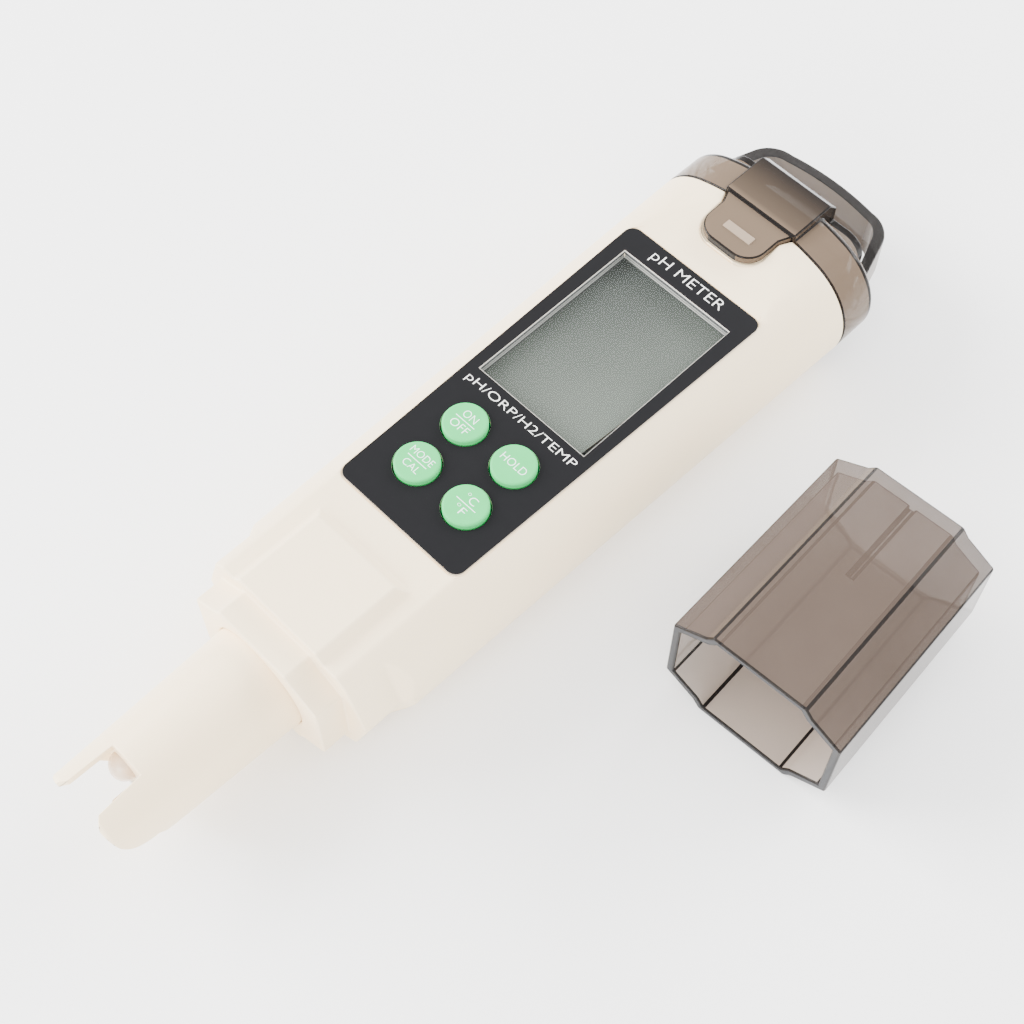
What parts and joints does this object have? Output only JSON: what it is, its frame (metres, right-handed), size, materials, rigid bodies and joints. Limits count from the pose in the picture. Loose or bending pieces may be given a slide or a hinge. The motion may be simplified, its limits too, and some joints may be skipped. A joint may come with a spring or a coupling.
{
  "type": "ph meter",
  "caption": "Pocket pH meter with a display and push keys on a dark front panel, a forked probe with a glass bulb, a smoky battery cap with a strap loop, and its loose probe cap.",
  "frame": {"origin": "middle of the flat back that the meter rests on, half way along the housing", "axes": "+Y runs along the meter from the probe to the battery cap, +Z points out of the display, +X is to the right of someone reading the display"},
  "size_m": [0.0989, 0.1789, 0.029],
  "materials": {
    "cream_plastic": "fine satin moulding",
    "probe_plastic": "smooth satin",
    "smoke_plastic": "translucent smoky brown, polished",
    "seal_rubber": "matt",
    "film_black": "satin printed film",
    "clear_pane": "polished clear pane",
    "key_mint": "satin silicone rubber",
    "lcd_glass": "polished display glass",
    "reflector": "grey-green diffuser",
    "frame_white": "satin",
    "strip_rubber": "matt, with fine dark layers",
    "board_green": "solder mask",
    "chip_black": "moulded epoxy",
    "steel": "bright",
    "nickel": "plated",
    "bulb_glass": "thin blown glass",
    "silver": "dull silver",
    "amber_epoxy": "cast",
    "porous_ceramic": "unglazed",
    "lead_red": "insulation"
  },
  "bodies": {
    "meter": {"housing": "cream_plastic", "probe_tube": "probe_plastic", "tube_gasket": "seal_rubber", "sensor_plug": "probe_plastic", "glass_bulb": "bulb_glass", "glass_stem": "bulb_glass", "silver_wire": "silver", "redox_electrode": "amber_epoxy", "temperature_pin": "steel", "reference_junction": "porous_ceramic", "sensor_leads": "lead_red", "front_film": "film_black", "display_window": "clear_pane", "keypad_mat": "key_mint", "lcd_glass": "lcd_glass", "lcd_reflector": "reflector", "lcd_frame": "frame_white", "contact_strips": "strip_rubber", "main_board": "board_green", "board_chips": "chip_black", "tact_switches": "chip_black", "inner_carrier": "frame_white", "board_screws": "steel", "button_cells": "nickel", "contact_plate": "nickel", "contact_leaf": "nickel", "battery_holder": "chip_black", "battery_leads": "lead_red"},
    "power_key": {"key_power": "key_mint"},
    "hold_key": {"key_hold": "key_mint"},
    "mode_key": {"key_mode": "key_mint"},
    "units_key": {"key_units": "key_mint"},
    "cap": {"battery_cap": "smoke_plastic", "cap_seal_ring": "seal_rubber"},
    "probe_cover": {"probe_cap": "smoke_plastic"}
  },
  "joints": [
    {"name": "power_key_press", "type": "slide", "parent": "meter", "child": "power_key", "axis": [0, 0, -1], "range_m": [0, 0.0007], "stiffness_N_per_m": 900, "springref_m": -0.0006},
    {"name": "hold_key_press", "type": "slide", "parent": "meter", "child": "hold_key", "axis": [0, 0, -1], "range_m": [0, 0.0007], "stiffness_N_per_m": 900, "springref_m": -0.0006},
    {"name": "mode_key_press", "type": "slide", "parent": "meter", "child": "mode_key", "axis": [0, 0, -1], "range_m": [0, 0.0007], "stiffness_N_per_m": 900, "springref_m": -0.0006},
    {"name": "units_key_press", "type": "slide", "parent": "meter", "child": "units_key", "axis": [0, 0, -1], "range_m": [0, 0.0007], "stiffness_N_per_m": 900, "springref_m": -0.0006},
    {"name": "battery_cap_pull", "type": "slide", "parent": "meter", "child": "cap", "axis": [0, 1, 0], "range_m": [0, 0.014]},
    {"name": "probe_cap_slide", "type": "slide", "parent": "meter", "child": "probe_cover", "axis": [0.0628, -0.998, 0], "range_m": [0, 0.043]}
  ]
}
